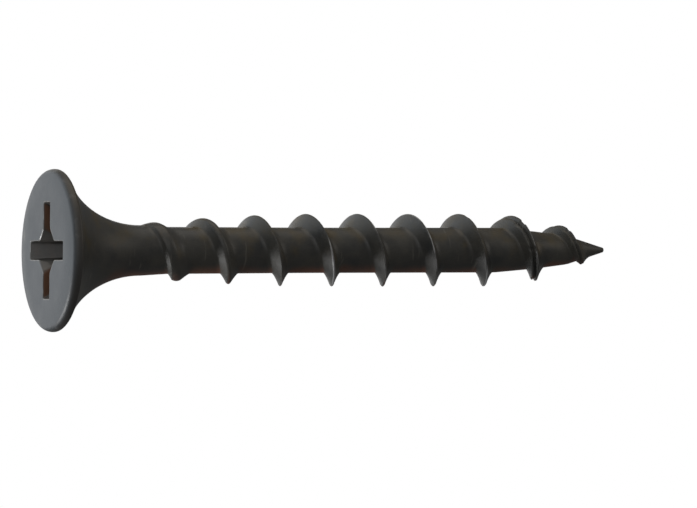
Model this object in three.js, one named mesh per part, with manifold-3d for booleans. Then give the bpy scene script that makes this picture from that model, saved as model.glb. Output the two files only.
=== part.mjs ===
// A coarse-threaded wood screw with a bugle head and a cross recess, nominally No. 6 by 1 1/4 inch.
// It is one piece of steel wire: the head and recess are cold-headed, the thread and point are rolled.
//
// Frame: millimetres, +Z up. The origin is the centre of the head's flat face, +X runs along the
// screw's axis towards its point, and -X is the side that the driver comes from.

import * as THREE from "three";
import { mergeVertices } from "three/addons/utils/BufferGeometryUtils.js";
import Module from "manifold-3d";

const { clamp, degToRad, lerp, mapLinear } = THREE.MathUtils;

// Overall size
const LENGTH = 31.5; // face to point
const HEAD_DIAMETER = 8.4;

// Head: a flat face, a thin rounded rim, and a hollow underside that sweeps into the neck
const FACE_EDGE_ROUND = 0.3; // radius of the edge between the face and the rim
const RIM_BACK_ROUND = 0.16; // radius of the edge between the rim and the underside
const RIM_THICKNESS = 0.62;
const NECK_DIAMETER = 2.62;
const NECK_START = 5.1; // where the underside meets the neck

// Thread: right-handed, one start
const PITCH = 2.9;
const ROOT_DIAMETER = 2.4;
const THREAD_HEIGHT = 0.72;
const THREAD_BASE_WIDTH = 0.92;
const THREAD_CREST_WIDTH = 0.14;
const BLUNT_CREST_WIDTH = 0.5; // crest of the half-rolled first turn
const FLANK_HOLLOW = [0.58, 0.46]; // half way up a flank: shares of the way in, and of the height
const CREST_PHASE = 2.01; // x of a crest on the screw's +Y side, less whole turns
const ROOT_START = 6.6; // where the neck has narrowed to the root diameter
const THREAD_START = NECK_START; // the crest first rises out of the neck
const THREAD_END = 30.75; // the crest runs out on the point

// Point: a slow taper, then a short cone with a slightly blunt end
const TAPER_START = 25.1;
const CONE_START = 29.3;
const CONE_RADIUS = 0.77;
const BLUNT_RADIUS = 0.14;
const BLUNT_LENGTH = 0.1;

// Cross recess for a No. 2 driver
const RECESS_SPAN = 5.0;
const RECESS_DEPTH = 2.5;
const WING_WIDTH = 0.96;
const WING_FLOOR_WIDTH = 0.8;
const WING_END_ANGLE = 26.5; // degrees from the axis
const PIT_DEPTH = 0.5; // pointed pit under the recess floor

// Flat across each inner corner of the cross: its depth in the recess, and its size along a wing
const CORNER_RELIEF = [
  [0, 0.66],
  [0.9, 0.22],
  [RECESS_DEPTH, 0.1],
];

// Facets
const AROUND = 36; // sides of every round shape, and steps to one turn of the thread
const ARC_POINTS = 4; // half the facets of each arc in the head's profile

const STEEL = new THREE.MeshStandardMaterial({
  color: 0x3b3a37, // dull black phosphate
  roughness: 0.55,
  metalness: 0.5,
});

const wasm = await Module();
wasm.setup();

// Loose triangle corners, three points to a triangle, as a manifold-3d solid.
function solid(corners) {
  const merged = mergeVertices(new THREE.BufferGeometry().setFromPoints(corners), 1e-4);
  const triangles = [];
  for (let i = 0; i < corners.length; i += 3) {
    const [a, b, c] = merged.index.array.slice(i, i + 3);
    if (a !== b && b !== c && c !== a) triangles.push(a, b, c);
  }
  return new wasm.Manifold(
    new wasm.Mesh({
      numProp: 3,
      vertProperties: merged.attributes.position.array,
      triVerts: new Uint32Array(triangles),
    }),
  );
}

// A manifold-3d solid as a three.js geometry.
function geometryOf(manifold) {
  const mesh = manifold.getMesh();
  const geometry = new THREE.BufferGeometry();
  geometry.setAttribute("position", new THREE.BufferAttribute(mesh.vertProperties, 3));
  geometry.setIndex(new THREE.BufferAttribute(mesh.triVerts, 1));
  return geometry;
}

// The corners of the two triangles of one four-sided facet.
function quad(a, b, c, d) {
  return [a, b, c, a, c, d];
}

// The facets between neighbouring rings of points. Where two points of a facet coincide, solid()
// drops the empty triangle, so a ring may close to a point.
function skin(rings) {
  const corners = [];
  for (let i = 1; i < rings.length; i++) {
    const near = rings[i - 1];
    const far = rings[i];
    for (let j = 0; j < near.length; j++) {
      const next = (j + 1) % near.length;
      corners.push(...quad(near[j], near[next], far[next], far[j]));
    }
  }
  return corners;
}

// The point at one step round the axis, counted from +Y towards +Z.
function aroundAxis(x, radius, step) {
  const angle = (2 * Math.PI * (step % AROUND)) / AROUND;
  return new THREE.Vector3(x, radius * Math.cos(angle), radius * Math.sin(angle));
}

// A ring of points round the axis.
function ring(x, radius) {
  return Array.from({ length: AROUND }, (_, step) => aroundAxis(x, radius, step));
}

// Straight-line interpolation through [x, value] pairs, held flat past both ends.
function along(stations, x) {
  const next = stations.findIndex(([station]) => station > x);
  if (next === 0) return stations[0][1];
  if (next < 0) return stations.at(-1)[1];
  const [x0, v0] = stations[next - 1];
  const [x1, v1] = stations[next];
  return mapLinear(x, x0, x1, v0, v1);
}

// Radius of the wire under the thread.
const coreRadius = [
  [NECK_START, NECK_DIAMETER / 2],
  [ROOT_START, ROOT_DIAMETER / 2],
  [TAPER_START, ROOT_DIAMETER / 2],
  [CONE_START, CONE_RADIUS],
  [LENGTH - BLUNT_LENGTH, BLUNT_RADIUS],
];

// Height of the crest above the core: a run-in over three turns, and a run-out over the point.
const crestHeight = [
  [THREAD_START, 0],
  [THREAD_START + 0.4 * PITCH, 0.44 * THREAD_HEIGHT],
  [THREAD_START + 1.3 * PITCH, 0.68 * THREAD_HEIGHT],
  [THREAD_START + 2.3 * PITCH, 0.9 * THREAD_HEIGHT],
  [THREAD_START + 3.2 * PITCH, THREAD_HEIGHT],
  [TAPER_START + 1.3, THREAD_HEIGHT],
  [TAPER_START + 2.7, 0.92 * THREAD_HEIGHT],
  [CONE_START, 0.66 * THREAD_HEIGHT],
  [CONE_START + 0.9, 0.45 * THREAD_HEIGHT],
  [THREAD_END, 0],
];

// The crest is broad where the dies have only begun to raise it.
const crestWidth = [
  [THREAD_START, BLUNT_CREST_WIDTH],
  [THREAD_START + PITCH, BLUNT_CREST_WIDTH * 0.8],
  [THREAD_START + 2 * PITCH, THREAD_CREST_WIDTH],
];

// Distance from the crest to the foot of the flank on its point side. It is long there at first, as
// the metal that the dies push up has come from that side.
const pointFoot = [
  [THREAD_START, 0.85],
  [THREAD_START + PITCH, 0.7],
  [THREAD_START + 2 * PITCH, THREAD_BASE_WIDTH / 2],
];

// Face, rim and hollow underside, down to the neck. A path's x is the radius, and its y the distance
// from the face.
function headRings() {
  const headRadius = HEAD_DIAMETER / 2;
  const neckRadius = NECK_DIAMETER / 2;
  const faceRadius = headRadius - FACE_EDGE_ROUND;
  const backRadius = headRadius - RIM_BACK_ROUND;
  const path = new THREE.Path();
  path.moveTo(0, 0);
  path.lineTo(faceRadius, 0);
  path.absarc(faceRadius, FACE_EDGE_ROUND, FACE_EDGE_ROUND, -Math.PI / 2, 0, false);
  path.absarc(backRadius, RIM_THICKNESS - RIM_BACK_ROUND, RIM_BACK_ROUND, 0, Math.PI / 2, false);
  // The underside is one arc from the back of the rim, tangent to the neck.
  const rise = backRadius - neckRadius;
  const run = NECK_START - RIM_THICKNESS;
  const sweep = (rise * rise + run * run) / (2 * rise);
  const startAngle = Math.PI + Math.asin(run / sweep);
  path.absarc(neckRadius + sweep, NECK_START, sweep, startAngle, Math.PI, true);
  return path.getPoints(ARC_POINTS).map(({ x: radius, y: x }) => ring(x, radius));
}

// The ridge's section from one foot to the other, where its crest is at x: offsets along the axis
// from the crest, and rises as shares of its height. Its flanks are hollow.
function ridgeSection(x) {
  const headFoot = -THREAD_BASE_WIDTH / 2;
  const foot = along(pointFoot, x);
  const tip = along(crestWidth, x) / 2;
  const [inward, rise] = FLANK_HOLLOW;
  return [
    [headFoot, 0],
    [lerp(headFoot, -tip, inward), rise],
    [-tip, 1],
    [tip, 1],
    [lerp(foot, tip, inward), rise],
    [foot, 0],
  ];
}

// A point of the threaded length: one corner of the ridge's section, so many steps along the helix.
// The corner past the last is the first corner of the next turn. Past either end of the thread the
// points gather on its end ring.
function threadPoint(step, corner) {
  const crestX = CREST_PHASE + (PITCH * step) / AROUND;
  const section = ridgeSection(crestX);
  if (corner === section.length) return threadPoint(step + AROUND, 0);
  const [offset, rise] = section[corner];
  const x = clamp(crestX + offset, THREAD_START, THREAD_END);
  return aroundAxis(x, along(coreRadius, x) + rise * along(crestHeight, x), step);
}

// The threaded length, as a strip one pitch wide that winds along the helix.
function threadSkin() {
  const corners = [];
  const sectionCorners = ridgeSection(THREAD_START).length;
  const firstStep = -AROUND;
  const lastStep = Math.ceil(((THREAD_END - CREST_PHASE) / PITCH + 1) * AROUND);
  for (let step = firstStep; step < lastStep; step++) {
    for (let corner = 0; corner < sectionCorners; corner++) {
      corners.push(
        ...quad(
          threadPoint(step, corner),
          threadPoint(step + 1, corner),
          threadPoint(step + 1, corner + 1),
          threadPoint(step, corner + 1),
        ),
      );
    }
  }
  return corners;
}

// The end of the point, past the thread.
function pointRings() {
  return [
    ring(THREAD_END, along(coreRadius, THREAD_END)),
    ring(LENGTH - BLUNT_LENGTH, BLUNT_RADIUS),
    ring(LENGTH - 0.3 * BLUNT_LENGTH, 0.7 * BLUNT_RADIUS),
    ring(LENGTH, 0),
  ];
}

// Outline of the cross, seen along the axis: for each wing, its two end corners and the two corners
// of the relief that follows it.
function crossOutline(x, span, width, relief) {
  const end = span / 2;
  const side = width / 2;
  const wing = [
    [end, -side],
    [end, side],
    [side + relief, side],
    [side, side + relief],
  ];
  const points = [];
  for (let quarter = 0; quarter < 4; quarter++) {
    for (const [out, across] of wing) {
      const corner = new THREE.Vector2(out, across);
      corner.rotateAround(new THREE.Vector2(), (quarter * Math.PI) / 2);
      points.push(new THREE.Vector3(x, corner.x, corner.y));
    }
  }
  return points;
}

// The space that the cross-point driver fills. It stands proud of the face, at the same taper, so
// that it cuts clean through.
function recessSkin() {
  const floorSpan = RECESS_SPAN - 2 * RECESS_DEPTH * Math.tan(degToRad(WING_END_ANGLE));
  const proud = -0.5;
  const tapered = (x) =>
    crossOutline(
      x,
      mapLinear(x, 0, RECESS_DEPTH, RECESS_SPAN, floorSpan),
      mapLinear(x, 0, RECESS_DEPTH, WING_WIDTH, WING_FLOOR_WIDTH),
      along(CORNER_RELIEF, x),
    );
  const cap = crossOutline(proud, 0, 0, 0);
  const walls = [proud, ...CORNER_RELIEF.map(([depth]) => depth)].map(tapered);
  const pit = crossOutline(RECESS_DEPTH + PIT_DEPTH, 0, 0, 0);
  return skin([cap, ...walls, pit]);
}

const blank = [...skin(headRings()), ...threadSkin(), ...skin(pointRings())];

const screw = new THREE.Mesh(geometryOf(solid(blank).subtract(solid(recessSkin()))), STEEL);
screw.name = "screw";

const woodScrew = new THREE.Group();
woodScrew.add(screw);

export default woodScrew;
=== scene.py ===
# %% [markdown]
# # A black wood screw
#
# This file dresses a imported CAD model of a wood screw: a finer mesh, a black phosphate finish, a
# pale floor, soft light and a camera. It is written as a lesson. Each step first says what the
# thing is, how it could be made, and why this way was chosen.
#
# The real screw is one piece of steel wire. A press squashes one end into a head and punches the
# cross recess into it. Then two flat dies roll the wire between them, which raises the thread and
# draws out the point. So the model is one closed mesh too, with no seams where parts would meet.

# %% The frame
import math

import bmesh
import bpy
import numpy as np
from mathutils import Matrix, Vector, noise


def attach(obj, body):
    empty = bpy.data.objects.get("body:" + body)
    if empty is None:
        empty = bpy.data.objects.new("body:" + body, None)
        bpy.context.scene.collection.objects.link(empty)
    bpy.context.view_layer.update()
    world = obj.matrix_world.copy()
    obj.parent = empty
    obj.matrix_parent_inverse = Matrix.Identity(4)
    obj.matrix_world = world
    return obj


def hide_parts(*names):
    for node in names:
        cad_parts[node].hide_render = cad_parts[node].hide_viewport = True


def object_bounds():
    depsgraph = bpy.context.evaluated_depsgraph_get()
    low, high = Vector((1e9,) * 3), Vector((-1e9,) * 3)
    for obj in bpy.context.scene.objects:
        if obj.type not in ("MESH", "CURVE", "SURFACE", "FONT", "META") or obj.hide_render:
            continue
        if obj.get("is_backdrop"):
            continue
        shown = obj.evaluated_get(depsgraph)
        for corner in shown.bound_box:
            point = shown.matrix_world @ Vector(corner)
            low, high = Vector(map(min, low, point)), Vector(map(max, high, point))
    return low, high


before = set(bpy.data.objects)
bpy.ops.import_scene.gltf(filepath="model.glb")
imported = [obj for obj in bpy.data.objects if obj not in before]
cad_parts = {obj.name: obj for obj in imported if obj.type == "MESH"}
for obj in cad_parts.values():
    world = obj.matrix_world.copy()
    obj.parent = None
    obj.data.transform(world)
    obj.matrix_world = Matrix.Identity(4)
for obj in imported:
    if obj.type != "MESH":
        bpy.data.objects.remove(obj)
cad_low, cad_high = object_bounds()

MM = 0.001
LENGTH = cad_high.x / MM
HEAD_RADIUS = cad_high.z / MM
print("packed pieces:", *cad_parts)
print(f"the screw is {LENGTH:.2f} mm long, and its head {2 * HEAD_RADIUS:.2f} mm across")

# %% [markdown]
# ## The sizes that drive the shape
#
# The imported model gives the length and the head's diameter. The rest are the sizes that a maker
# would put on a drawing, in millimetres. X runs along the axis from the head's flat face, at 0, to
# the point.
#
# A real screw is never as true as its drawing. The head of this one leans a little, and the punch
# struck its recess slightly to one side. Both are kept, because a perfect screw looks like a
# drawing of one.

# %% Sizes
FACE_CROWN = 0.05  # how far the middle of the face stands proud
FACE_FLAT_RADIUS = 2.9  # past this the face falls away, ever faster, to its edge
FACE_FALL = 0.09  # by this much
FACE_EDGE = 0.26  # the edge between face and rim is a quarter of an ellipse: its radial size
FACE_EDGE_DROP = 0.36  # and its size along the axis
RIM_LAND = 0.04  # the plain part of the rim, between its two rounded edges
RIM_BACK_ROUND = 0.16  # the radius of its back edge
HEAD_LEAN_UP = 0.012  # the top of the head leans towards the point
HEAD_LEAN_BACK = 0.018  # and its far side leans away from it
NECK_RADIUS = 1.31
NECK_START = 5.1  # where the arc of the underside ends

PITCH = 2.9
ROOT_RADIUS = 1.19
THREAD_HEIGHT = 0.72
CREST_PHASE = 2.01  # x of a crest on the +Y side, less whole turns
THREAD_START = NECK_START
THREAD_END = 30.75

TAPER_START = 25.1  # where the straight core starts to narrow
CONE_START = 29.3
CONE_RADIUS = 0.77
BLUNT_RADIUS = 0.14  # of the rounded tip
BLUNT_LENGTH = 0.1

RECESS_SPAN = 5.0
RECESS_DEPTH = 2.5
WING_WIDTH = 0.96
WING_FLOOR_WIDTH = 0.8
WING_END_ANGLE = math.radians(26.5)  # between the end of a wing and the axis
PIT_DEPTH = 0.5  # of the cone below the floor of the recess
PUNCH_OFFSET = -0.18  # the punch struck a little off centre, towards -Y

CREST_RADIUS = ROOT_RADIUS + THREAD_HEIGHT
print(f"core {2 * ROOT_RADIUS:.2f} mm, over the crests {2 * CREST_RADIUS:.2f} mm, pitch {PITCH} mm")

# %% [markdown]
# ## A mesh made of grids
#
# A screw can be made in Blender with the Screw modifier, which sweeps a profile along a helix. It
# makes a fine thread, but the head, the run-in and the point then have to be cut and joined on,
# and joins show on a polished edge. Here the whole surface is made from a few grids of points
# instead. Each grid is an array of rows and columns, neighbouring grids share their edge points,
# and one weld at the end makes them a single skin.
#
# Every point also carries a number from 0 to 1, `wear`, that says how exposed it is. The finish
# reads it later.

# %% Grids
AROUND = 192  # columns round the axis: a multiple of 96, so that the cross's outline divides evenly

ROLLED, STRUCK, OILED = range(3)  # the three finishes

points = []
wear = []
facets = []
facet_finish = []


def add_grid(grid, grid_wear, finish, closed=True):
    """Adds the grid's points, and a facet between each four neighbours."""
    rows, columns = grid.shape[:2]
    first = len(points)
    points.extend(grid.reshape(-1, 3).tolist())
    wear.extend(np.broadcast_to(grid_wear, (rows, columns)).ravel().tolist())
    for row in range(rows - 1):
        for column in range(columns if closed else columns - 1):
            beside = (column + 1) % columns
            near, far = first + row * columns, first + (row + 1) * columns
            facets.append((near + column, near + beside, far + beside, far + column))
            facet_finish.append(finish)


def around(x, radius, step):
    """Points round the axis, counted in steps from +Y towards +Z. The arguments can be arrays."""
    angle = 2 * np.pi * np.mod(step, AROUND) / AROUND
    x, radius, angle = np.broadcast_arrays(x, radius, angle)
    return np.stack([x, radius * np.cos(angle), radius * np.sin(angle)], axis=-1)


def smooth_step(value):
    """0 below 0, 1 above 1, and an easy curve between."""
    value = np.clip(value, 0, 1)
    return value * value * (3 - 2 * value)


print(f"a grid has {AROUND} columns, one every {360 / AROUND:.2f} degrees")

# %% [markdown]
# ## The cross recess
#
# The recess is the print of a punch with four tapering wings. It could be cut with a Boolean
# modifier, but that leaves long thin triangles on the face, and the soft edge that the punch
# presses round its print would need a bevel that fails on them. So the recess is lofted: the same
# cross outline is drawn at several depths, a little smaller each time.
#
# The outline has the same count of points in each quarter: across a wing's end, along its side,
# across the relieved corner, and along the side of the next wing. Averaging each point with its
# neighbours rounds the corners, as the wear of the punch does.

# %% The outline of the cross
QUARTER = AROUND // 4
END_STEPS = QUARTER // 4
RELIEF_STEPS = QUARTER // 6
SIDE_STEPS = (QUARTER - END_STEPS - RELIEF_STEPS) // 2
RELIEF_DEPTHS = [0, 0.9, RECESS_DEPTH]
RELIEF_SIZES = [0.66, 0.22, 0.1]  # how far each inner corner is cut back, at those depths


def cross_outline(span, width, relief):
    """The y and z of the cross's outline, anticlockwise from the first corner of the +Y wing."""
    end, side = span / 2, width / 2
    corners = [(end, -side), (end, side), (side + relief, side), (side, side + relief), (side, end)]
    steps = [END_STEPS, SIDE_STEPS, RELIEF_STEPS, SIDE_STEPS]
    legs = [
        np.linspace(start, stop, count, endpoint=False)
        for start, stop, count in zip(corners, corners[1:], steps)
    ]
    quarter = np.concatenate(legs)
    turned = [quarter]
    for _ in range(3):
        quarter = np.stack([-quarter[:, 1], quarter[:, 0]], axis=-1)
        turned.append(quarter)
    outline = np.concatenate(turned)
    return 0.25 * np.roll(outline, 1, axis=0) + 0.5 * outline + 0.25 * np.roll(outline, -1, axis=0)


def recess_ring(depth, grown=0.0):
    """The recess at one depth below the face, as a row of points."""
    share = depth / RECESS_DEPTH
    span = RECESS_SPAN - 2 * depth * math.tan(WING_END_ANGLE) + 2 * grown
    width = WING_WIDTH + (WING_FLOOR_WIDTH - WING_WIDTH) * share + 2 * grown
    relief = np.interp(depth, RELIEF_DEPTHS, RELIEF_SIZES)
    outline = cross_outline(span, width, relief)
    return np.column_stack([np.full(len(outline), float(depth)), outline])


print(f"each wing has {END_STEPS} steps across its end and {SIDE_STEPS} along each side")

# %% The recess, from its pit to its mouth
MOUTH_ROUND = 0.05
MOUTH_WEAR = [0.1, 0.3, 0.7, 1, 0.8, 0.4]  # of the last rings, where the walls round over

pit_tip = np.tile([RECESS_DEPTH + PIT_DEPTH, 0.0, 0.0], (AROUND, 1))
floor_edge = recess_ring(RECESS_DEPTH)
pit = [pit_tip + (floor_edge - pit_tip) * share for share in (0, 0.25, 0.5, 0.75)]
wall_depths = np.linspace(RECESS_DEPTH, 2 * MOUTH_ROUND, 18)
walls = [recess_ring(depth) for depth in wall_depths]
mouth = [
    recess_ring(MOUTH_ROUND * (1 - math.sin(turn)), MOUTH_ROUND * (1 - math.cos(turn)))
    for turn in np.linspace(0, math.pi / 2, 5)
]
recess_rings = np.array(pit + walls + mouth) + [-FACE_CROWN, PUNCH_OFFSET, 0]
recess_wear = np.zeros(len(recess_rings))
recess_wear[-len(MOUTH_WEAR) :] = MOUTH_WEAR
add_grid(recess_rings, recess_wear[:, None], OILED)
print(f"the recess is {RECESS_SPAN} mm across and {RECESS_DEPTH + PIT_DEPTH} mm deep at its pit")

# %% [markdown]
# ## The head
#
# From the mouth of the recess the rings spread over the flat face and turn from a cross into a
# circle. Past the face they follow the profile of a bugle head: a soft edge, a thin rim, and a
# hollow underside that sweeps into the neck as one arc. In Blender such a profile could also be
# turned with the Spin tool. Rings are used so that the face, the recess and the rim are one skin.

# %% The face
FACE_RINGS = 22
RINGS_CROWD = 1.3  # above 1 the rings crowd round the recess

# The cross's outline starts at a corner, which is half a wing's end before +Y.
steps = np.arange(AROUND) - END_STEPS // 2
edge_radius = HEAD_RADIUS - FACE_EDGE


def face_x(radius):
    """How far along the axis the face lies, at a distance from the axis."""
    share = np.clip((radius - FACE_FLAT_RADIUS) / (edge_radius - FACE_FLAT_RADIUS), 0, None)
    return FACE_FALL * share**2 - FACE_CROWN


mouth_ring = recess_rings[-1]
face_edge_ring = around(0.0, edge_radius, steps)
face_shares = np.linspace(0, 1, FACE_RINGS)[:, None, None]
face_rings = mouth_ring + (face_edge_ring - mouth_ring) * face_shares**RINGS_CROWD
face_rings[..., 0] = face_x(np.hypot(face_rings[..., 1], face_rings[..., 2]))
face_wear = np.interp(face_shares[:, 0], [0, 0.2, 0.6, 1], [0.4, 0, 0, 0.35])
add_grid(face_rings, face_wear, STRUCK)
print(f"the face stands {FACE_CROWN} mm proud in the middle and falls {FACE_FALL} mm at its edge")

# %% Rim and underside
RIM_WEAR_PLACES = [0.06, 0.15, 0.4, 0.6, 0.7, 1]  # millimetres along the axis
RIM_WEAR = [0.3, 0.5, 0.45, 0.4, 0.1, 0]
BACK_TURN = math.radians(65)  # how far the rim's back edge turns before the underside starts

# The ellipse takes over from the falling face where both have about the same slope.
edge_slope = 2 * FACE_FALL / (edge_radius - FACE_FLAT_RADIUS)
edge_start = math.atan(edge_slope * FACE_EDGE / FACE_EDGE_DROP)
edge_x = float(face_x(edge_radius))
edge_size = FACE_EDGE / (1 - math.sin(edge_start))
rim_profile = [
    (
        edge_x + FACE_EDGE_DROP * (math.cos(edge_start) - math.cos(turn)),
        edge_radius + edge_size * (math.sin(turn) - math.sin(edge_start)),
    )
    for turn in np.linspace(edge_start, math.pi / 2, 13)[1:]
]
rim_profile.insert(0, (edge_x, edge_radius))
back_x = rim_profile[-1][0] + RIM_LAND + RIM_BACK_ROUND
back_radius = HEAD_RADIUS - RIM_BACK_ROUND
rim_profile += [
    (back_x - RIM_BACK_ROUND * (1 - math.sin(turn)), back_radius + RIM_BACK_ROUND * math.cos(turn))
    for turn in np.linspace(0, BACK_TURN, 7)
]
under_x, under_radius = rim_profile[-1]
rise, run = under_radius - NECK_RADIUS, NECK_START - under_x
sweep = (rise * rise + run * run) / (2 * rise)
start_angle = math.asin(run / sweep)
under_profile = [
    (NECK_START - sweep * math.sin(angle), NECK_RADIUS + sweep * (1 - math.cos(angle)))
    for angle in np.linspace(start_angle, 0, 40)[1:]
]
for profile, finish in ((rim_profile, STRUCK), ([rim_profile[-1], *under_profile], ROLLED)):
    profile = np.array(profile)
    rings = around(profile[:, :1], profile[:, 1:], steps[None, :])
    worn = np.interp(profile[:, 0], RIM_WEAR_PLACES, RIM_WEAR)
    add_grid(rings, worn[:, None], finish)
print(f"the underside is an arc of {sweep:.2f} mm radius")

# %% [markdown]
# ## The thread
#
# A rolled thread is a ridge pushed up out of the wire, so its flanks are hollow and flow into the
# root. The grid here is a strip one pitch wide that winds along the helix: its columns cross the
# ridge and the root, and its last column is the first column one turn on. Every edge of the mesh
# then follows the thread, and the crest stays a clean line.
#
# Where the dies begin to bite, next to the neck, the ridge is low and blunt. It is full and sharp
# after three turns, and runs out again on the point. On the last two turns the two waves of metal
# that make the crest meet badly and leave a fold, so the crest is two lips with a groove between.
#
# The ridge's height wavers by a few per cent, and the sharp turns have small dents where screws
# knocked together in their box. Both come from Blender's own noise, which gives the same values
# each time, so nothing has to be seeded.

# %% Radius, height and width along the screw
NICK_DEPTH = 0.09  # as a share of the ridge's height
NICKS_PER_MM = 7
FOLD_PATCHES_PER_MM = 1.7


def core_radius(x):
    """The wire without its ridge: nearly straight, then a slow taper, and the cone of the point."""
    stations = [NECK_START, 6.6, 10, 14, TAPER_START, 27.5, CONE_START, LENGTH - BLUNT_LENGTH]
    radii = [NECK_RADIUS, 1.22, 1.21, ROOT_RADIUS, ROOT_RADIUS, 0.99, CONE_RADIUS, BLUNT_RADIUS]
    return np.interp(x, stations, radii)


def crest_height(x):
    """The ridge's height, which grows from the neck and runs out on the point."""
    turns = np.array([0, 0.2, 0.4, 1.3, 2.3, 3.2])
    stations = [*(THREAD_START + PITCH * turns), 26.4, 27.8, CONE_START, 30.2, THREAD_END]
    shares = [0, 0.24, 0.44, 0.68, 0.9, 1, 1.03, 0.92, 0.66, 0.38, 0]
    return THREAD_HEIGHT * np.interp(x, stations, shares)


def unevenness(x, scale):
    """Smooth noise along the screw, from about -1 to 1."""
    return np.array([noise.noise(Vector((scale * place, 0, 0))) for place in x])


def crest_half_width(x):
    """Half the width of the crest, which is blunt on the first turns."""
    turns = (np.asarray(x) - THREAD_START) / PITCH
    return np.interp(turns, [0, 1, 1.6, 2.4, 7], [0.28, 0.22, 0.13, 0.08, 0.085])


def nick_share(x):
    """Short dents in the crest, as a share of its height. They are deepest near the point."""
    dented = smooth_step((unevenness(x + 50, NICKS_PER_MM) - 0.2) / 0.25)
    return NICK_DEPTH * np.interp(x, [14, 20, 24, 26], [0, 0.3, 0.3, 1]) * dented


def fold_share(x):
    """How much of a fold there is, from 0 to 1, along the last two turns."""
    stations = [24.9, 25.7, 27.0, 27.7, 28.6, 29.5, 30.3]
    shares = [0, 1, 1, 0.45, 0.9, 0.9, 0.3]
    patches = np.clip(0.9 + 0.5 * unevenness(x, FOLD_PATCHES_PER_MM), 0, 1)
    return np.interp(x, stations, shares) * patches


for place in (6, 12, 20, 28):
    core, ridge = 2 * core_radius(place), crest_height(place)
    print(f"{place} mm from the face: core {core:.2f} mm, ridge {ridge:.2f} mm high")

# %% The section of the ridge
FLANK_SHARES = np.array([0, 0.16, 0.32, 0.47, 0.6, 0.72, 0.83, 0.92])
FLANK_HOLLOW = 1.2  # above 1 the flank curves inwards
CREST_SHARES = np.array([-1, -0.7, -0.45, -0.2, 0, 0.2, 0.45, 0.7, 1])
CREST_CROWN = 0.14  # how much lower the crest's shoulders are, as a share of its height
FOLDED_RISE = np.array([0.64, 0.74, 0.72, 0.55, 0.5, 0.66, 0.92, 1, 0.84])  # lip, groove, lip
FOLD_WIDENS = 0.14  # how much further each side of the crest then reaches


def ridge_section(crest_x):
    """Offsets along the axis and rises from 0 to 1, one row for each crest position given.

    A row runs from the foot of the flank that faces the head, over the crest, to the foot of the
    flank that faces the point.
    """
    fold = fold_share(crest_x)[:, None]
    tip = crest_half_width(crest_x)[:, None] + FOLD_WIDENS * fold
    turns = (crest_x - THREAD_START) / PITCH
    head_foot = np.interp(turns, [0, 2, 7, 8.6], [0.44, 0.45, 0.45, 0.36])[:, None]
    point_foot = np.interp(turns, [0, 1, 2, 6.5, 7.5, 8.6], [0.85, 0.7, 0.47, 0.47, 0.6, 0.5])
    point_foot = point_foot[:, None]
    flank_top = (1 - CREST_CROWN) * (1 - fold) + FOLDED_RISE[[0, -1]] * fold
    flank_rise = FLANK_SHARES**FLANK_HOLLOW
    head_flank = -(head_foot + (tip - head_foot) * FLANK_SHARES)
    point_flank = (point_foot + (tip - point_foot) * FLANK_SHARES)[:, ::-1]
    crest_rise = (1 - CREST_CROWN * CREST_SHARES**2) * (1 - fold) + FOLDED_RISE * fold
    crest_rise *= 1 - nick_share(crest_x)[:, None]
    offset = np.concatenate([head_flank, tip * CREST_SHARES, point_flank], axis=1)
    rise = np.concatenate(
        [flank_top[:, :1] * flank_rise, crest_rise, flank_top[:, 1:] * flank_rise[::-1]], axis=1
    )
    return offset, rise


print(f"the ridge is drawn with {2 * len(FLANK_SHARES) + len(CREST_SHARES)} columns")

# %% The threaded strip
ROOT_COLUMNS = 8
HEIGHT_WAVERS = 0.03
WAVES_PER_MM = 2.3
WEAR_POWER = 6  # a high power keeps the wear to the crest

first_step = -AROUND
last_step = math.ceil(((THREAD_END - CREST_PHASE) / PITCH + 1) * AROUND)
ridge_steps = np.arange(first_step, last_step + AROUND + 1)
crest_x = CREST_PHASE + PITCH * ridge_steps / AROUND
offset, rise = ridge_section(crest_x)
ridge_x = crest_x[:, None] + offset

# The root of each row reaches from its ridge to the foot of the same ridge, one turn on.
here = ridge_x[:-AROUND]
next_turn = ridge_x[AROUND:, :1]
root_shares = np.linspace(0, 1, ROOT_COLUMNS + 1)[None, 1:]
root_x = here[:, -1:] + (next_turn - here[:, -1:]) * root_shares
strip_x = np.concatenate([here, root_x], axis=1)
strip_rise = np.concatenate([rise[:-AROUND], np.zeros_like(root_x)], axis=1)
# Points past the ends of the thread pile up there, and the weld merges them.
strip_x = np.clip(strip_x, THREAD_START, THREAD_END)
wavering = 1 + HEIGHT_WAVERS * unevenness(crest_x[:-AROUND], WAVES_PER_MM)[:, None]
rolled_height = crest_height(strip_x) * wavering
strip_radius = core_radius(strip_x) + strip_rise * rolled_height
strip_steps = ridge_steps[:-AROUND, None]
strip = around(strip_x, strip_radius, strip_steps)
strip_wear = strip_rise**WEAR_POWER * smooth_step(crest_height(strip_x) / THREAD_HEIGHT - 0.2)
add_grid(strip.transpose(1, 0, 2), strip_wear.T, ROLLED, closed=False)
print(f"the thread has {(THREAD_END - THREAD_START) / PITCH:.1f} turns")

# %% The point
POINT_WEAR = 0.6

blunt_turns = np.linspace(0, math.pi / 2, 5)
blunt_profile = [
    (LENGTH - BLUNT_LENGTH * (1 - math.sin(turn)), BLUNT_RADIUS * math.cos(turn))
    for turn in blunt_turns
]
cone_x = np.linspace(THREAD_END, LENGTH - BLUNT_LENGTH, 7)[:-1]
point_profile = np.array([*zip(cone_x, core_radius(cone_x)), *blunt_profile])
point_rings = around(point_profile[:, :1], point_profile[:, 1:], steps[None, :])
add_grid(point_rings, POINT_WEAR, ROLLED)
print(f"the tip is {2 * BLUNT_RADIUS} mm across before it rounds off")

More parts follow.
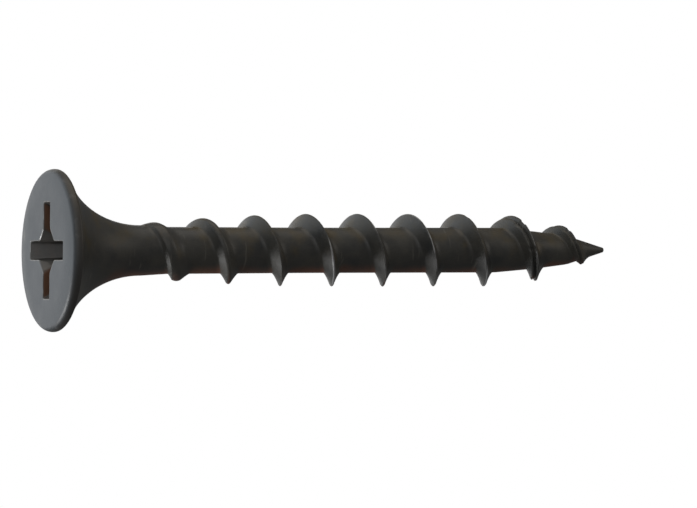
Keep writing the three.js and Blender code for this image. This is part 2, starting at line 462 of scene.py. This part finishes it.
# %% [markdown]
# ## Welding the grids
#
# `remove_doubles` merges points that lie in the same place, which joins the grids and closes the
# facets that had shrunk to nothing at both ends of the thread. The exposure of each point goes
# into the mesh as an attribute, which survives the weld. The head is leaned over just before that,
# by shifting each point along the axis, less and less towards the neck.

# %% One closed mesh
WELD_REACH = 1e-4  # millimetres

placed = np.array(points)
lean = HEAD_LEAN_UP * placed[:, 2] - HEAD_LEAN_BACK * placed[:, 1]
placed[:, 0] += lean * (1 - smooth_step(placed[:, 0] / NECK_START))

mesh = bpy.data.meshes.new("wood_screw")
mesh.from_pydata(placed.tolist(), [], facets)
exposed = mesh.attributes.new("wear", "FLOAT", "POINT")
exposed.data.foreach_set("value", wear)
mesh.polygons.foreach_set("material_index", facet_finish)

skin = bmesh.new()
skin.from_mesh(mesh)
bmesh.ops.remove_doubles(skin, verts=skin.verts, dist=WELD_REACH)
bmesh.ops.recalc_face_normals(skin, faces=skin.faces)
open_edges = [edge for edge in skin.edges if not edge.is_manifold]
print(f"{len(skin.verts)} points, {len(skin.faces)} facets, {len(open_edges)} open edges")
bmesh.ops.scale(skin, verts=skin.verts, vec=(MM, MM, MM))
skin.to_mesh(mesh)
skin.free()
mesh.shade_smooth()

screw = bpy.data.objects.new("wood_screw", mesh)
bpy.context.scene.collection.objects.link(screw)
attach(screw, "root")
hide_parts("screw")

# %% [markdown]
# ## The finish
#
# Black phosphate is a coat of dark crystals that the steel grows in an acid bath, and it is sealed
# with oil. It is dull, not paint-black: where the press struck the face flat it is satin, and on the
# rolled wire it is darker and a little uneven. The face's blue-grey is painted, a cool sheen for the
# light that it catches. Handling rubs the edges bare, dried oil leaves olive-brown patches that are
# made warmer and lighter on the upper side, as light from above makes it, the lower side has a
# painted red-brown reflection of warm light from below, and the recess, which nobody wipes, turns
# rusty brown.
#
# An image could be wrapped round the model, but its highlights would be baked in and would be wrong
# from any other side. So every effect is worked out from noise in the object's own space. Each one
# is a node group that is built once. The three materials place the same groups with their own
# values: the struck face, the rolled wire, and the recess.

# %% Helpers that build nodes
def add_node(tree, kind, inputs=None, **settings):
    """Adds a node. An input is given either a value or the output that feeds it."""
    node = tree.nodes.new("ShaderNode" + kind)
    for name, value in settings.items():
        setattr(node, name, value)
    for name, value in (inputs or {}).items():
        if isinstance(value, bpy.types.NodeSocket):
            tree.links.new(value, node.inputs[name])
        else:
            node.inputs[name].default_value = value
    return node


def new_group(name, inputs, outputs):
    """An empty node group. Each input has a kind and a value, and each output has a kind."""
    group = bpy.data.node_groups.new(name, "ShaderNodeTree")
    for label, (kind, value) in inputs.items():
        socket = group.interface.new_socket(label, in_out="INPUT", socket_type="NodeSocket" + kind)
        socket.default_value = value
    for label, kind in outputs.items():
        group.interface.new_socket(label, in_out="OUTPUT", socket_type="NodeSocket" + kind)
    given = group.nodes.new("NodeGroupInput").outputs
    result = group.nodes.new("NodeGroupOutput").inputs
    return group, given, result


def place_group(tree, group, inputs):
    """Places a group in a material, with that material's own values."""
    node = add_node(tree, "Group", node_tree=group)
    for name, value in inputs.items():
        node.inputs[name].default_value = value
    return node.outputs


print("three helpers: one for a node, one for a new group, and one that places a group")

# %% [markdown]
# ### Phosphate crystals
#
# The coat is uneven on two scales: broad blotches where the bath took more or less, and a fine
# grain of crystals that scatters the light. One noise texture could do both with high detail, but
# then their sizes could not be set apart. Two are used: the broad one tints the coat, and the fine
# one is a height.

# %% Group: phosphate
phosphate, given, result = new_group(
    "phosphate",
    {"Blotch Scale": ("Float", 600), "Grain Scale": ("Float", 9000)},
    {"Blotches": "Float", "Grain": "Float"},
)
place = add_node(phosphate, "TexCoord").outputs["Object"]
broad = add_node(
    phosphate,
    "TexNoise",
    {"Vector": place, "Scale": given["Blotch Scale"], "Detail": 3, "Roughness": 0.6},
)
blotches = add_node(
    phosphate, "MapRange", {"Value": broad.outputs["Fac"], "From Min": 0.32, "From Max": 0.68}
)
crystals = add_node(
    phosphate,
    "TexNoise",
    {"Vector": place, "Scale": given["Grain Scale"], "Detail": 2, "Roughness": 0.7},
)
phosphate.links.new(blotches.outputs["Result"], result["Blotches"])
phosphate.links.new(crystals.outputs["Fac"], result["Grain"])
print(f"{phosphate.name}: {len(phosphate.nodes)} nodes put out blotches and grain")

# %% [markdown]
# ### Worn edges
#
# Edges rub bare first. Blender can find edges in a shader with the Bevel node or with Pointiness,
# but the first is slow and the second depends on how fine the mesh is. The mesh already says how
# exposed each point is, in its `wear` attribute, and noise makes the edge of the bare metal ragged.

# %% Group: edge wear
edge_wear, given, result = new_group(
    "edge wear",
    {"Starts At": ("Float", 0.5), "Raggedness": ("Float", 0.6), "Scale": ("Float", 1500)},
    {"Bare": "Float"},
)
place = add_node(edge_wear, "TexCoord").outputs["Object"]
exposure = add_node(edge_wear, "Attribute", attribute_name="wear").outputs["Fac"]
patches = add_node(edge_wear, "TexNoise", {"Vector": place, "Scale": given["Scale"], "Detail": 4})
centred = add_node(edge_wear, "Math", {0: patches.outputs["Fac"], 1: 0.5}, operation="SUBTRACT")
uneven = add_node(
    edge_wear,
    "Math",
    {0: centred.outputs["Value"], 1: given["Raggedness"], 2: exposure},
    operation="MULTIPLY_ADD",
)
bare = add_node(
    edge_wear,
    "MapRange",
    {"Value": uneven.outputs["Value"], "From Min": given["Starts At"], "From Max": 1.0},
    interpolation_type="SMOOTHSTEP",
)
edge_wear.links.new(bare.outputs["Result"], result["Bare"])
print(f"{edge_wear.name}: {len(edge_wear.nodes)} nodes put out a mask of bare metal")

# %% [markdown]
# ### Dried oil, rust, and painted light on one side
#
# One group makes patches that favour one side. It adds up an even amount, noise, and how far the
# surface faces a given direction. It makes the patches of dried oil and the rust in the recess, and
# it also paints light and shade: the warmer, lighter upper side, the red-brown reflection along the
# lower side, and the shade where the rim turns away from the face. A mask drawn in an image would be
# the other way, but it could not be tuned with a few values.

# %% Group: film and painted shade
# a mask of patches that favour one side: oil and rust, and in its other uses painted light and shade
film_and_shade, given, result = new_group(
    "film_and_shade",
    {
        "Amount": ("Float", 0.3),
        "Side": ("Vector", (0, 0, 0)),
        "Patchiness": ("Float", 1.0),
        "Scale": ("Float", 900),
    },
    {"Film And Shade": "Float"},
)
coordinates = add_node(film_and_shade, "TexCoord").outputs
patches = add_node(
    film_and_shade, "TexNoise", {"Vector": coordinates["Object"], "Scale": given["Scale"], "Detail": 3}
)
facing = add_node(
    film_and_shade, "VectorMath", {0: coordinates["Normal"], 1: given["Side"]}, operation="DOT_PRODUCT"
)
even = add_node(film_and_shade, "Math", {0: facing.outputs["Value"], 1: given["Amount"]}, operation="ADD")
centred = add_node(film_and_shade, "Math", {0: patches.outputs["Fac"], 1: 0.5}, operation="SUBTRACT")
uneven = add_node(
    film_and_shade,
    "Math",
    {0: centred.outputs["Value"], 1: given["Patchiness"], 2: even.outputs["Value"]},
    operation="MULTIPLY_ADD",
)
gathered = add_node(
    film_and_shade, "MapRange", {"Value": uneven.outputs["Value"]}, interpolation_type="SMOOTHSTEP"
)
film_and_shade.links.new(gathered.outputs["Result"], result["Film And Shade"])
print(f"{film_and_shade.name}: {len(film_and_shade.nodes)} nodes put out a mask of oil or rust")

# %% [markdown]
# ### Marks of the dies
#
# The dies roll the wire crossways, so what they leave on it are faint rings and short scratches
# round it. Noise that is squeezed along the axis and stretched round it looks the same. The face
# has the like from the punch, so it takes this group too, with other values.

# %% Group: tool marks
tool_marks, given, result = new_group(
    "tool marks",
    {
        "Stretch": ("Vector", (1, 0.1, 0.1)),
        "Scale": ("Float", 4000),
        "Scratched Above": ("Float", 0.66),
    },
    {"Height": "Float", "Scratched": "Float"},
)
place = add_node(tool_marks, "TexCoord").outputs["Object"]
stretched = add_node(
    tool_marks, "VectorMath", {0: place, 1: given["Stretch"]}, operation="MULTIPLY"
)
rings = add_node(
    tool_marks,
    "TexNoise",
    {"Vector": stretched.outputs["Vector"], "Scale": given["Scale"], "Detail": 2},
)
scratched = add_node(
    tool_marks,
    "MapRange",
    {"Value": rings.outputs["Fac"], "From Min": given["Scratched Above"], "From Max": 0.8},
)
tool_marks.links.new(rings.outputs["Fac"], result["Height"])
tool_marks.links.new(scratched.outputs["Result"], result["Scratched"])
print(f"{tool_marks.name}: {len(tool_marks.nodes)} nodes put out a height and a mask of scratches")

# %% [markdown]
# ### Layers of colour
#
# Every material stacks its layers in the order in which a screw gets them: the coat in two tones,
# its scratches, the oil, the rust, then bare steel. A short helper mixes one layer over another,
# and a second one turns a mask into a value between two ends.

# %% Helpers that stack layers
def layer(tree, mask, under, over):
    """A colour: `over` where the mask is 1, and `under` where it is 0."""
    mix = add_node(tree, "Mix", data_type="RGBA")
    tree.links.new(mask, mix.inputs["Factor"])
    for socket, colour in (("A", under), ("B", over)):
        target = next(s for s in mix.inputs if s.name == socket and s.type == "RGBA")
        if isinstance(colour, bpy.types.NodeSocket):
            tree.links.new(colour, target)
        else:
            target.default_value = (*colour, 1)
    return next(s for s in mix.outputs if s.type == "RGBA")


def between(tree, mask, low, high):
    """A value: `low` where the mask is 0, and `high` where it is 1."""
    node = add_node(tree, "MapRange", {"Value": mask, "To Min": low, "To Max": high})
    return node.outputs["Result"]


def new_material(name, specular, coat=0.0):
    """A material with its Principled shader."""
    material = bpy.data.materials.new(name)
    material.use_nodes = True
    shader = material.node_tree.nodes["Principled BSDF"]
    shader.inputs["Specular IOR Level"].default_value = specular
    shader.inputs["Coat Weight"].default_value = coat
    return material, material.node_tree, shader


def bump(tree, shader, height, distance):
    """Raises the surface by a height, in metres where the height is 1."""
    node = add_node(tree, "Bump", {"Height": height, "Distance": distance, "Strength": 1.0})
    tree.links.new(node.outputs["Normal"], shader.inputs["Normal"])


STEEL = (0.3, 0.3, 0.3)
SCRATCHED_COAT = (0.12, 0.115, 0.1)
# olive-brown of dried oil, which on the upper side also paints the top warmer and lighter, as light
# from above does
OIL_AND_TOP_LIGHT = (0.064, 0.05, 0.026)
# painted warm reflection: a red-brown for the lower side, standing for warm light bounced up from
# below
PAINTED_WARM_BOUNCE = (0.15, 0.052, 0.026)
OILY_RUST = (0.15, 0.07, 0.035)
# painted shade for the rim, where it turns away from the face and the main light
RIM_PAINTED_SHADE = (0.04, 0.038, 0.035)
COARSE_GRAIN = 5e-6  # metres
FINE_GRAIN = 3e-6
PAPER_GRAIN = 2e-5
print(f"linear colours: steel {STEEL}, dried oil {OIL_AND_TOP_LIGHT}, rust {PAINTED_WARM_BOUNCE}")

# %% [markdown]
# ### The rolled wire
#
# The underside, neck, thread and point were all shaped by rolling or drawing. The coat there is a
# warm near-black. Olive-brown patches of dried oil gather on the upper side, which also paints the
# top warmer and lighter, as the light from above makes it. A red-brown band along the lower side is
# a painted warm reflection of light bounced up from below. The crests of the thread are rubbed to
# steel in places.

# %% Material: rolled wire
# the oil patches gather on the upper side, which also paints the top warmer and lighter
UPPER_SIDE = (0, 0, 0.6)  # the longer the vector, the more the side counts
# the side where the painted red-brown reflection goes
LOWER_SIDE = (0.15, 0.2, -1.8)

rolled, tree, shader = new_material("rolled wire", specular=0.5)
coat = place_group(tree, phosphate, {"Blotch Scale": 700, "Grain Scale": 9000})
marks = place_group(
    tree, tool_marks, {"Stretch": (1, 0.12, 0.12), "Scale": 5000, "Scratched Above": 0.66}
)
# dried oil patches, weighted to the upper side: partly a painted warm top light
oil_and_top_light = place_group(
    tree, film_and_shade, {"Amount": -0.1, "Side": UPPER_SIDE, "Patchiness": 3.2, "Scale": 800}
)
# painted warm reflection: a red-brown band, in patches, along the lower side
rust_and_bounce = place_group(
    tree, film_and_shade, {"Amount": -1.0, "Side": LOWER_SIDE, "Patchiness": 1.4, "Scale": 350}
)
edges = place_group(tree, edge_wear, {"Starts At": 0.8, "Raggedness": 1.8, "Scale": 400})
colour = layer(tree, coat["Blotches"], (0.031, 0.032, 0.031), (0.058, 0.055, 0.046))
colour = layer(tree, marks["Scratched"], colour, SCRATCHED_COAT)
# olive-brown oil, and painted warmer light on the upper side
colour = layer(tree, oil_and_top_light["Film And Shade"], colour, OIL_AND_TOP_LIGHT)
# the painted red-brown reflection along the lower side
colour = layer(tree, rust_and_bounce["Film And Shade"], colour, PAINTED_WARM_BOUNCE)
colour = layer(tree, edges["Bare"], colour, STEEL)
tree.links.new(colour, shader.inputs["Base Color"])
tree.links.new(between(tree, edges["Bare"], 0.0, 0.4), shader.inputs["Metallic"])
tree.links.new(between(tree, coat["Blotches"], 0.4, 0.54), shader.inputs["Roughness"])
height = add_node(tree, "Math", {0: coat["Grain"], 1: marks["Height"]}, operation="ADD")
bump(tree, shader, height.outputs["Value"], COARSE_GRAIN)
print(f"rolled wire: {len(tree.nodes)} nodes")

# %% [markdown]
# ### The struck face
#
# The press flattens the face and the rim, which makes the coat there smoother. Its blue-grey is a
# painted cool sheen, for the light that the face catches from the big cool lamp. The same groups are
# used, with finer blotches, fewer scratches, and bare metal only near the edges. The film group has
# a third use here: it paints shade, a darker brown coat where the rim turns away from the face and
# from the light.

# %% Material: struck face
# the rim is painted darker where it faces along this direction, away from the face and the light
AWAY_FROM_FACE = (1.2, 0, 0)

struck, tree, shader = new_material("struck face", specular=0.5)
coat = place_group(tree, phosphate, {"Blotch Scale": 900, "Grain Scale": 11000})
marks = place_group(
    tree, tool_marks, {"Stretch": (1, 1, 0.25), "Scale": 3000, "Scratched Above": 0.7}
)
# painted shade: darkens the coat where the rim turns away from the face and from the main light
turned = place_group(
    tree, film_and_shade, {"Amount": 1.12, "Side": AWAY_FROM_FACE, "Patchiness": 0.3, "Scale": 900}
)
# dried oil on the upper side of the rim, which also paints it warmer and lighter
oil_and_top_light = place_group(
    tree, film_and_shade, {"Amount": 0.05, "Side": (0.3, 0, 0.45), "Patchiness": 0.9, "Scale": 500}
)
edges = place_group(tree, edge_wear, {"Starts At": 0.5, "Raggedness": 0.8, "Scale": 1200})
# the bluish tint of this coat is a painted cool sheen, for the light that the face catches from the
# big cool lamp
colour = layer(tree, coat["Blotches"], (0.03, 0.036, 0.042), (0.042, 0.048, 0.055))
colour = layer(tree, marks["Scratched"], colour, SCRATCHED_COAT)
# the painted shade where the rim turns away
colour = layer(tree, turned["Film And Shade"], colour, RIM_PAINTED_SHADE)
# dried oil, and painted warmer light on the rim's upper side
colour = layer(tree, oil_and_top_light["Film And Shade"], colour, OIL_AND_TOP_LIGHT)
colour = layer(tree, edges["Bare"], colour, STEEL)
tree.links.new(colour, shader.inputs["Base Color"])
tree.links.new(between(tree, edges["Bare"], 0.0, 0.4), shader.inputs["Metallic"])
tree.links.new(between(tree, coat["Blotches"], 0.4, 0.5), shader.inputs["Roughness"])
height = add_node(tree, "Math", {0: coat["Grain"], 1: marks["Height"]}, operation="ADD")
bump(tree, shader, height.outputs["Value"], FINE_GRAIN)
print(f"struck face: {len(tree.nodes)} nodes")

# %% [markdown]
# ### The recess
#
# The punch leaves the recess walls smooth and oily. Oil and rust powder collect in it, so its walls
# are brown, and they shine a little through the oil, which is the shader's clear coat. The driver
# has rubbed the mouth in a few spots.

# %% Material: oiled recess
oiled, tree, shader = new_material("oiled recess", specular=0.5, coat=0.3)
coat = place_group(tree, phosphate, {"Blotch Scale": 1500, "Grain Scale": 9000})
rust_and_bounce = place_group(
    tree, film_and_shade, {"Amount": -0.1, "Side": (1.5, -1, 0), "Patchiness": 0.8, "Scale": 1200}
)
edges = place_group(tree, edge_wear, {"Starts At": 0.95, "Raggedness": 0.8, "Scale": 2000})
# this coat is a little lighter than the wire's, which paints light onto recess walls that are in
# shade
colour = layer(tree, coat["Blotches"], (0.045, 0.043, 0.039), (0.065, 0.062, 0.057))
colour = layer(tree, rust_and_bounce["Film And Shade"], colour, OILY_RUST)
colour = layer(tree, edges["Bare"], colour, STEEL)
tree.links.new(colour, shader.inputs["Base Color"])
tree.links.new(between(tree, edges["Bare"], 0.0, 0.5), shader.inputs["Metallic"])
tree.links.new(between(tree, rust_and_bounce["Film And Shade"], 0.38, 0.6), shader.inputs["Roughness"])
bump(tree, shader, coat["Grain"], COARSE_GRAIN)
print(f"oiled recess: {len(tree.nodes)} nodes")

# %% [markdown]
# ### Which facets take which material
#
# Every facet was given a number when its grid was made, which is its material's place in this list.
# A second way is to select the facets by their position once the mesh is whole, but a grid knows
# what it is for, and the edges between the finishes then follow the shape exactly.

# %% Materials on the facets
for place, material in enumerate((rolled, struck, oiled)):
    mesh.materials.append(material)
    print(f"{material.name}: {facet_finish.count(place)} facets before the weld")

# %% [markdown]
# ## The floor
#
# The screw is shown over a plain pale floor of matt paper. A white floor would throw light up and
# wash out the screw's dark underside, so it is hidden from the rays that leave the screw, and it
# lets the light of the low lamp through. The camera still sees it, with the light that falls on it.
# A few soft clouds of tone keep the paper from looking like flat paint.

# %% The floor
FLOOR_DROP = 24
FLOOR_RADIUS = 160

floor_mesh = bpy.data.meshes.new("floor")
disc = bmesh.new()
bmesh.ops.create_circle(disc, cap_ends=True, segments=96, radius=FLOOR_RADIUS * MM)
disc.to_mesh(floor_mesh)
disc.free()
floor = bpy.data.objects.new("floor", floor_mesh)
floor.location = (LENGTH / 2 * MM, 0, -FLOOR_DROP * MM)
floor.visible_diffuse = False
floor.visible_glossy = False
floor.visible_shadow = False
bpy.context.scene.collection.objects.link(floor)
floor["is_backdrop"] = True

paper, tree, shader = new_material("pale paper", specular=0.2)
fibres = place_group(tree, phosphate, {"Blotch Scale": 60, "Grain Scale": 2500})
colour = layer(tree, fibres["Blotches"], (0.86, 0.85, 0.83), (0.9, 0.89, 0.87))
tree.links.new(colour, shader.inputs["Base Color"])
shader.inputs["Roughness"].default_value = 0.9
bump(tree, shader, fibres["Grain"], PAPER_GRAIN)
floor_mesh.materials.append(paper)
print(f"the floor is {2 * FLOOR_RADIUS} mm across, {FLOOR_DROP} mm below the axis")

# %% [markdown]
# ## The light
#
# The main light is big and cool, and comes from the head's side and a little from behind. A warm
# one is above, and another, past the point, lights the flanks that face away from the head. White
# panels behind and in front keep the sides from going black. That is why the face is bright and
# bluish, the upper side of the shank is warm, and the underside is nearly black; the face's blue and
# the top's warmth are also painted into the coats. A sun or a point lamp would make hard streaks on
# the thread. Square area lamps make the broad soft bands that a satin finish needs. A small one, low
# and near the head, puts a glint at the foot of each flank, and the glint fades towards the point.
#
# The backdrop is plain white, but only for the camera. If it lit the screw too, from every side,
# then nothing would have a dark side.

# %% The backdrop
FILL = 0.12

world = bpy.data.worlds.new("studio")
bpy.context.scene.world = world
world.use_nodes = True
sky = world.node_tree
fill = sky.nodes["Background"]
fill.inputs["Color"].default_value = (1, 1, 1, 1)
fill.inputs["Strength"].default_value = FILL
backdrop = add_node(sky, "Background", {"Color": (1, 1, 1, 1), "Strength": 1.0})
seen = add_node(sky, "LightPath").outputs["Is Camera Ray"]
either = add_node(
    sky, "MixShader", {0: seen, 1: fill.outputs["Background"], 2: backdrop.outputs["Background"]}
)
sky.links.new(either.outputs["Shader"], sky.nodes["World Output"].inputs["Surface"])
bpy.context.scene.view_settings.view_transform = "Standard"
print(f"the backdrop lights the screw with {FILL:.0%} of the white that the camera sees")

# %% The lamps
middle = Vector((LENGTH / 2, 0, 0))
COOL = (0.91, 0.97, 1.02)
WARM = (1, 0.94, 0.86)
WHITE = (1, 1, 1)


def softbox(name, towards, distance, size, brightness, colour):
    """A square lamp in a direction from the screw's middle. At brightness 1 it is backdrop white."""
    data = bpy.data.lights.new(name, "AREA")
    data.size = size * MM
    data.energy = brightness * math.pi * (size * MM) ** 2
    data.color = colour
    lamp = bpy.data.objects.new(name, data)
    lamp.visible_camera = False
    position = middle + Vector(towards).normalized() * distance
    lamp.location = position * MM
    lamp.rotation_mode = "QUATERNION"
    lamp.rotation_quaternion = (middle - position).to_track_quat("-Z", "Y")
    bpy.context.scene.collection.objects.link(lamp)


softbox("left_panel", (-0.85, 0.52, 0.3), 150, 185, 1.22, COOL)
softbox("back_panel", (-0.05, 1, 0.15), 150, 130, 1.0, WHITE)
softbox("top_panel", (-0.1, 0, 1), 110, 110, 1.15, WARM)
softbox("front_panel", (-0.65, -0.9, 0.4), 200, 200, 0.7, WHITE)
softbox("right_panel", (1, -0.6, 0.5), 150, 80, 1.3, WARM)
softbox("low_left_lamp", (-0.8, 0.3, -0.42), 60, 24, 8, WHITE)

# %% [markdown]
# ## The camera
#
# The camera looks level at the screw, from its side and a little from the head, so that the face
# shows as a narrow ellipse. It is far off, with a long lens, so the near side of the head is hardly
# larger than the far side. It is rolled by a fraction of a degree, as a camera in the hand is.

# %% The camera
YAW = math.radians(21.8)
ROLL = 0.0012
DISTANCE = 262
LENS = 263.1
SENSOR_WIDTH = 36
AIM_ALONG, AIM_UP = 15.556, -0.178  # where the picture's middle is, across and up from the origin

level = Vector((math.cos(YAW), -math.sin(YAW), 0))
plumb = Vector((0, 0, 1))
right = level * math.cos(ROLL) - plumb * math.sin(ROLL)
up = plumb * math.cos(ROLL) + level * math.sin(ROLL)
forward = Vector((math.sin(YAW), math.cos(YAW), 0))

camera_data = bpy.data.cameras.new("camera")
camera_data.lens = LENS
camera_data.sensor_width = SENSOR_WIDTH
camera_data.clip_start = 0.01
camera_data.clip_end = 10
camera = bpy.data.objects.new("camera", camera_data)
bpy.context.scene.collection.objects.link(camera)
position = AIM_ALONG * right + AIM_UP * up - DISTANCE * forward
turned = Matrix((right, up, -forward)).transposed().to_4x4()
camera.matrix_world = Matrix.Translation(position * MM) @ turned
bpy.context.scene.camera = camera
print(f"the camera is {DISTANCE} mm away, {math.degrees(YAW):.1f} degrees round from square-on")

# %% [markdown]
# ## The sizes, side by side
#
# The finished mesh should fill the same box as the imported model, so both boxes are written down
# before the script ends.

# %% Sizes of both models, and the end
visual_low, visual_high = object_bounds()
for name, low, high in (("packed", cad_low, cad_high), ("finished", visual_low, visual_high)):
    across = [round((high[axis] - low[axis]) / MM, 2) for axis in range(3)]
    print(f"the {name} model measures {across} mm")
